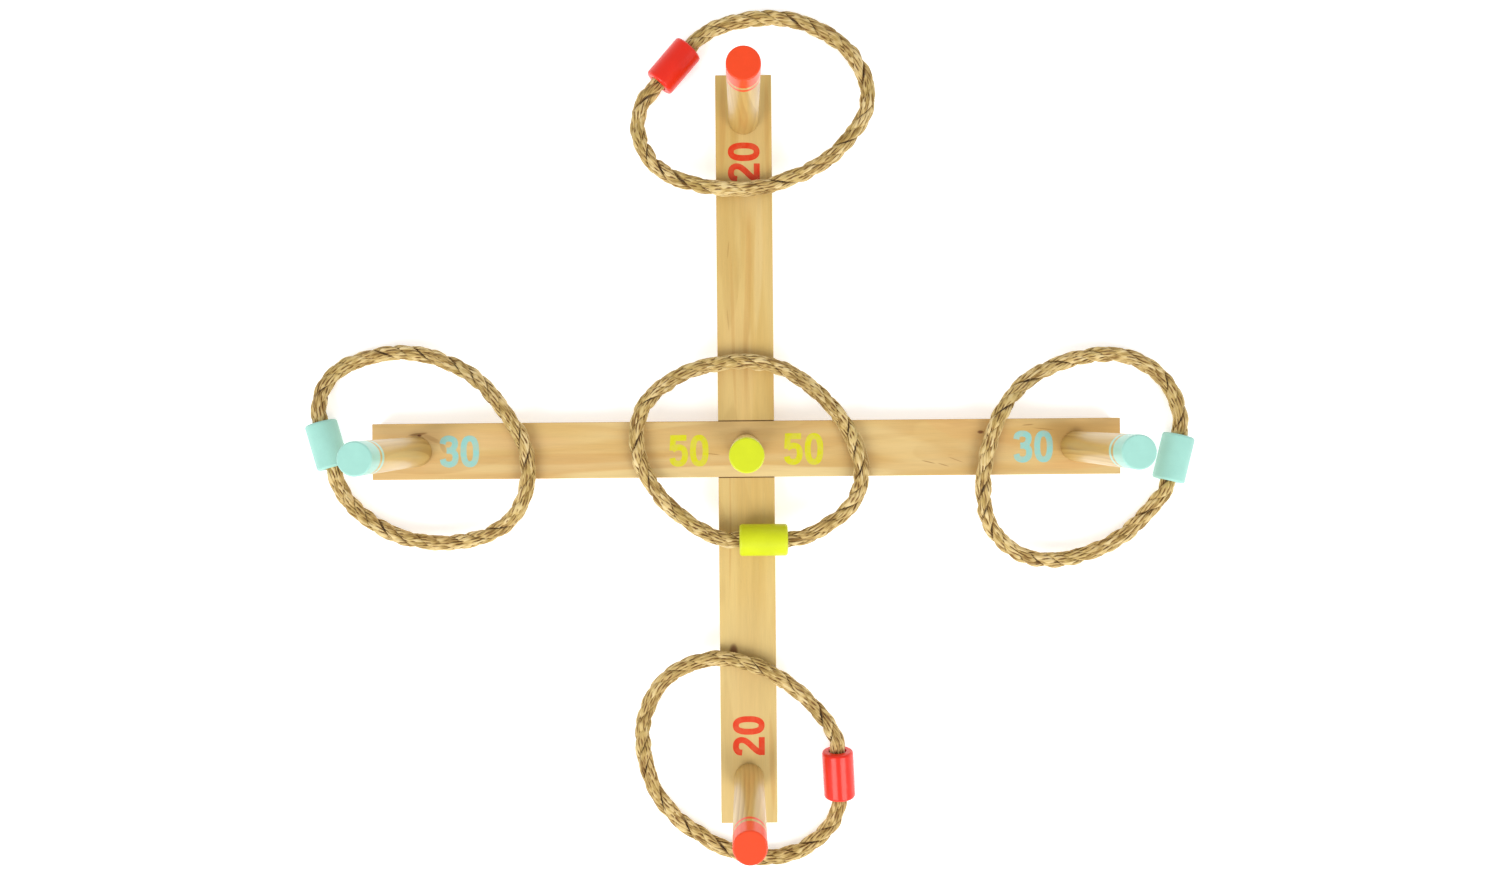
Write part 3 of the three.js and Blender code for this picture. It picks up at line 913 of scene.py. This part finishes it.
def thread_radius(angle, height, crest, depth, pitch):
    """A screw thread's radius, with narrow flats at its crest and root."""
    turn = (height / pitch - angle / (2 * math.pi)) % 1.0
    slope = 2 * np.abs(turn - 0.5)
    return crest - depth * np.clip(1.35 * slope - 0.15, 0, 1)


def threaded_rows(at, low, high, crest, depth, pitch, sides=32, per_turn=10):
    angles = round_angles(sides)
    rows = []
    for height in np.linspace(low, high, int((high - low) / pitch * per_turn) + 1):
        radius = thread_radius(angles, height, crest, depth, pitch)
        edge = min(height - low, high - height)
        rows.append(level_row(np.minimum(radius, crest - depth + edge), height, angles, at))
    return np.array(rows)


def add_stud(place, at):
    """A hanger bolt: machine thread below the peg's foot, wood screw thread up inside it."""
    machine = threaded_rows(at, STUD_LOW, PEG_FOOT - mm(1), STUD_RADIUS, mm(0.5), mm(1))
    wood = threaded_rows(at, PEG_FOOT + mm(1), STUD_HIGH, STUD_RADIUS, mm(0.8), mm(2.4))
    add_shell(
        f"hanger_bolt_{place}", np.concatenate([machine, wood]), f"{place}_peg",
        steel, f"peg_stud_{place}", sharp=40,
    )


def add_insert(place, at):
    """A threaded insert: coarse thread outside, fine thread inside, and a six-sided key socket."""
    low, high = CENTRE_INSERT if place == "centre" else OUTER_INSERT
    sides, collar, lip = 48, mm(4.7), mm(4.4)
    outside = threaded_rows(at, low, high - mm(1.2), mm(4.9), mm(0.7), mm(2.5), sides)
    top = [(collar, high - mm(1.1)), (collar, high - mm(0.3)), (lip, high)]
    angles = round_angles(sides)
    socket = mm(3.5) / np.cos(np.mod(angles + math.pi / 6, math.pi / 3) - math.pi / 6)
    socket_floor = high - mm(3)
    inside = [level_row(socket, height, angles, at) for height in (high, socket_floor)]
    for height in np.linspace(socket_floor, low, int((socket_floor - low) / mm(1) * 10) + 1):
        thread = mm(6.7) - thread_radius(angles, height, mm(3.4), mm(0.35), mm(1))
        inside.append(level_row(thread, height, angles, at))
    rows = np.concatenate([outside, round_rows(top, sides, at), np.array(inside)])
    body = "cross_upper" if place in ("east", "west") else "cross_lower"
    add_shell(
        f"insert_{place}", rows, body, zinc, f"threaded_insert_{place}",
        looped=True, sharp=40,
    )


# ---- planks

def drill(piece, profile, at):
    """Cuts a round hole of a (radius, height) profile down into a piece."""
    verts, faces = skin(round_rows(profile, 64, at))
    tool = add_object("drill", mesh_from("drill", verts, faces))
    cut = piece.modifiers.new("hole", "BOOLEAN")
    cut.operation = "DIFFERENCE"
    cut.solver = "EXACT"
    cut.object = tool
    bpy.context.view_layer.update()
    seen = piece.evaluated_get(bpy.context.evaluated_depsgraph_get())
    mesh = bpy.data.meshes.new_from_object(seen)
    piece.modifiers.clear()
    piece.data = mesh
    bpy.data.objects.remove(tool)


def plank_mesh(name, grain_axis, lap_below):
    """A plank with a halving notch across its middle and slightly eased outer edges."""
    half, lap = PLANK_LENGTH / 2, PLANK_WIDTH / 2 + LAP_GAP
    level = PLANK_THICK / 2 + (LAP_GAP / 2 if lap_below else -LAP_GAP / 2)
    low, high = 0.0, PLANK_THICK
    notched, whole = (low, high) if lap_below else (high, low)
    outline = [
        (-half, notched), (-lap, notched), (-lap, level), (lap, level), (lap, notched),
        (half, notched), (half, whole), (-half, whole),
    ]
    bm = bmesh.new()
    sides = []
    for across in (-PLANK_WIDTH / 2, PLANK_WIDTH / 2):
        points = [(a, across, h) if grain_axis == "X" else (across, a, h) for a, h in outline]
        sides.append([bm.verts.new(p) for p in points])
    for row in sides:
        bm.faces.new(row)
    count = len(outline)
    for i in range(count):
        j = (i + 1) % count
        bm.faces.new([sides[0][i], sides[0][j], sides[1][j], sides[1][i]])
    bmesh.ops.recalc_face_normals(bm, faces=bm.faces)

    def on_lap(face):
        along = 0 if grain_axis == "X" else 1
        return all(abs(v.co[along]) <= lap + mm(0.01) for v in face.verts)

    outer = [e for e in bm.edges if not any(on_lap(f) for f in e.link_faces)]
    bmesh.ops.bevel(
        bm, geom=outer, offset=PLANK_EASE, segments=3, profile=0.5, affect="EDGES",
        clamp_overlap=True,
    )
    return mesh_of(name, bm)


def add_planks():
    shelf = OUTER_INSERT[0] - INSERT_SINK
    above = PLANK_THICK + mm(1)
    insert_hole = [
        (STUD_HOLE_RADIUS, FLOOR_UNDER_STUD), (STUD_HOLE_RADIUS, shelf),
        (INSERT_HOLE_RADIUS, shelf), (INSERT_HOLE_RADIUS, above),
    ]
    stud_hole = [(STUD_HOLE_RADIUS, -mm(1)), (STUD_HOLE_RADIUS, above)]
    centre_hole = [
        (INSERT_HOLE_RADIUS, FLOOR_UNDER_STUD - INSERT_SINK), (INSERT_HOLE_RADIUS, above),
    ]
    for name, body, axis, lap_below, look, middle in (
        ("upper_plank", "cross_upper", "X", True, UPPER_LOOK, stud_hole),
        ("lower_plank", "cross_lower", "Y", False, LOWER_LOOK, centre_hole),
    ):
        ends = ("east", "west") if axis == "X" else ("north", "south")
        mesh = plank_mesh(f"{name}_wood", axis, lap_below)
        bare = add_object(f"{name}_bare", mesh)
        drill(bare, middle, (0.0, 0.0))
        for place in ends:
            drill(bare, insert_hole, PLACES[place]["at"])
        cut = bare.data
        bpy.data.objects.remove(bare)
        slot = "upper_pine" if axis == "X" else "lower_pine"
        material = plank_material(f"{slot}_finish", axis, look)
        even_flats(add_piece(f"{name}_wood", cut, body, material, [name]))


# ---- numerals

DIGIT_WIDTH = 14.4
DIGIT_GAP = 2.2
PEN_WIDTH = 4.8
NUMERAL_LOW = PLANK_THICK - mm(0.02)
NUMERAL_HIGH = PLANK_THICK + mm(0.07)

# Each digit's pen lines in millimetres about its own middle; a smooth line bends through them.
DIGITS = {
    "2": [
        ("smooth", [(-5.1, 5.4), (-4.7, 8.2), (-2.6, 10), (0.4, 10.4), (3.4, 9.4), (4.9, 6.8),
                    (4.6, 3.6), (2.4, 0.2), (-1.2, -3.6), (-4.2, -7.2), (-5.2, -10.2)]),
        ("straight", [(-7.2, -10.35), (7.2, -10.35)]),
    ],
    "3": [
        ("smooth", [(-5.1, 6), (-4.4, 8.8), (-1.8, 10.3), (1.6, 10.2), (4.2, 8.6), (4.7, 5.6),
                    (3.4, 2.6), (0.8, 1), (-1.9, 0.8)]),
        ("smooth", [(-1.9, 0.8), (1.8, 0.4), (4.5, -1.6), (5.1, -5), (4.2, -8.4), (1.6, -10.2),
                    (-1.6, -10.3), (-4.3, -8.8), (-5.1, -6)]),
    ],
    "5": [
        ("straight", [(-5.2, 10.35), (6.4, 10.35)]),
        ("straight", [(-4.2, 12.5), (-4.9, 0.2)]),
        ("smooth", [(-4.9, 0.6), (-2.6, 2.2), (0.6, 2.8), (3.6, 1.6), (5, -1.6), (4.9, -5.6),
                    (3.4, -8.9), (0.6, -10.3), (-2.4, -10), (-4.6, -8.2), (-5.1, -5.8)]),
    ],
}


def zero_line(steps=48):
    """The pen line of a narrow, straight-sided zero."""
    angles = 2 * math.pi * np.arange(steps + 1) / steps
    flatten = 2 / 2.5
    x = 5.05 * np.sign(np.cos(angles)) * np.abs(np.cos(angles)) ** flatten
    y = 10.35 * np.sign(np.sin(angles)) * np.abs(np.sin(angles)) ** flatten
    return np.stack([x, y], axis=-1)


def pen_strip(line, closed):
    """The two edges of a pen line, and the quads between them."""
    if closed:
        ahead = np.roll(line[:-1], -1, axis=0) - np.roll(line[:-1], 1, axis=0)
        ahead = np.vstack([ahead, ahead[:1]])
    else:
        ahead = np.gradient(line, axis=0)
    ahead /= np.linalg.norm(ahead, axis=1)[:, None]
    left = np.stack([-ahead[:, 1], ahead[:, 0]], axis=-1) * PEN_WIDTH / 2
    points = np.vstack([line + left, line - left])
    count = len(line)
    quads = [[i, i + count, i + count + 1, i + 1] for i in range(count - 1)]
    return points, quads


def digit_shape(digit):
    """A digit's points and quads, which may overlap, in millimetres."""
    strips = []
    if digit == "0":
        strips.append(pen_strip(zero_line(), True))
    for kind, line in DIGITS.get(digit, ()):
        line = np.array(line, float)
        if kind == "smooth":
            flat = np.column_stack([line, np.zeros(len(line))])
            line = catmull_rom(flat, 8)[:, :2]
        strips.append(pen_strip(line, False))
    return joined(strips)


def add_numerals(name, digits, centre, upward, body, paint):
    """A score on a plank's top: a thin film of paint with real thickness."""
    shapes = []
    for number, digit in enumerate(digits):
        shift = (number - (len(digits) - 1) / 2) * (DIGIT_WIDTH + DIGIT_GAP)
        points, quads = digit_shape(digit)
        shapes.append((points + np.array([shift, 0]), quads))
    points, quads = joined(shapes)
    merged = delaunay_2d_cdt([Vector(p) for p in points.tolist()], [], quads, 1, 1e-5)
    bm = bmesh.new()
    verts = []
    for x, y in merged[0]:
        x, y = (-y, x) if upward else (x, y)
        verts.append(bm.verts.new((centre[0] + mm(x), centre[1] + mm(y), NUMERAL_LOW)))
    for face in merged[2]:
        bm.faces.new([verts[i] for i in face])
    loose = [v for v in bm.verts if not v.link_faces]
    bmesh.ops.delete(bm, geom=loose, context="VERTS")
    raised = bmesh.ops.extrude_face_region(bm, geom=list(bm.faces))["geom"]
    for vert in (v for v in raised if isinstance(v, bmesh.types.BMVert)):
        vert.co.z = NUMERAL_HIGH
    bmesh.ops.recalc_face_normals(bm, faces=bm.faces)
    add_piece(name, mesh_of(name, bm), body, numeral_paint[paint])


def add_scores():
    outer, inner = mm(230), mm(46)
    for place, at, digits, paint in (
        ("east", (outer, 0.0), "30", "mint"),
        ("west", (-outer, 0.0), "30", "mint"),
        ("centre_east", (inner, mm(-0.4)), "50", "lime"),
        ("centre_west", (-inner, mm(-1)), "50", "lime"),
        ("north", (0.0, outer), "20", "red"),
        ("south", (0.0, -outer), "20", "red"),
    ):
        upward = paint == "red"
        body = "cross_lower" if upward else "cross_upper"
        add_numerals(f"score_{place}", digits, at, upward, body, paint)


# ---- stage

FLOOR_GLOW = 0.42
ROOM_LOW = 1.0
ROOM_HIGH = 0.58
LAMP_POWER = 35


def add_floor():
    bm = bmesh.new()
    bmesh.ops.create_grid(bm, x_segments=2, y_segments=2, size=4)
    mesh = mesh_of("floor", bm)
    floor = add_object("floor", mesh)
    floor.location.z = mm(-0.3)
    mat = Shader("floor_paper")
    mottle = mat.noise(mat.place()[0], 3, detail=1)
    colour = mat.ramp(mottle, [(0.3, grey(0.9)), (0.7, grey(0.92))])
    mesh.materials.append(mat.finish(
        colour, 0.9, Emission_Color=grey(1.0), Emission_Strength=FLOOR_GLOW,
    ))


def add_lamp(name, x, power):
    data = bpy.data.lights.new(name, "AREA")
    data.shape = "DISK"
    data.size = 1.6
    data.energy = power
    light = add_object(name, data)
    light.location = (x, -1.35, 1.9)
    away = Vector(light.location) - Vector((0, 0.1, 0))
    light.rotation_euler = away.to_track_quat("Z", "Y").to_euler()


def add_lights():
    """A pale room that darkens overhead, and two soft lamps in front, to the left and right."""
    world = bpy.data.worlds.new("studio")
    bpy.context.scene.world = world
    world.use_nodes = True
    tree = world.node_tree
    direction = tree.nodes.new("ShaderNodeTexCoord").outputs["Generated"]
    parts = tree.nodes.new("ShaderNodeSeparateXYZ")
    tree.links.new(direction, parts.inputs[0])
    height = tree.nodes.new("ShaderNodeMapRange")
    height.interpolation_type = "SMOOTHSTEP"
    tree.links.new(parts.outputs[2], height.inputs["Value"])
    for socket, value in zip(list(height.inputs)[1:5], (0.15, 0.85, ROOM_LOW, ROOM_HIGH)):
        socket.default_value = value
    background = tree.nodes["Background"]
    background.inputs["Color"].default_value = grey(1.0)
    tree.links.new(height.outputs[0], background.inputs["Strength"])
    add_lamp("lamp_left", -1.35, LAMP_POWER)
    add_lamp("lamp_right", 1.35, LAMP_POWER * 0.9)
    bpy.context.scene.view_settings.view_transform = "Standard"


# ---- the set

add_camera()
sisal = sisal_material()
for where, route in RINGS.items():
    add_rope(where, route)

bead_paint = {
    "red": paint_material("red_bead_enamel", BEAD_RED, 0.4, 0.4, 0.1),
    "mint": paint_material("mint_bead_enamel", PAINTS["mint"], 0.45, 0.2, 0.3),
    "lime": paint_material("lime_bead_enamel", PAINTS["lime"], 0.45, 0.2, 0.3),
}
numeral_paint = {
    "red": numeral_material("red_score_paint", rgb(212, 56, 22), 0.92),
    "mint": numeral_material("mint_score_paint", rgb(140, 196, 189), 0.76),
    "lime": numeral_material("lime_score_paint", rgb(206, 203, 22), 0.78),
}
steel = metal_material("bolt_zinc_plate", rgb(196, 198, 202), 0.2)
zinc = metal_material("insert_yellow_zinc", rgb(208, 190, 122), 0.24)

add_planks()
add_scores()
for where, home in PLACES.items():
    add_bead(where, RINGS[where])
    add_peg(where, home)
    add_stud(where, home["at"])
    add_insert(where, home["at"])
add_floor()
add_lights()
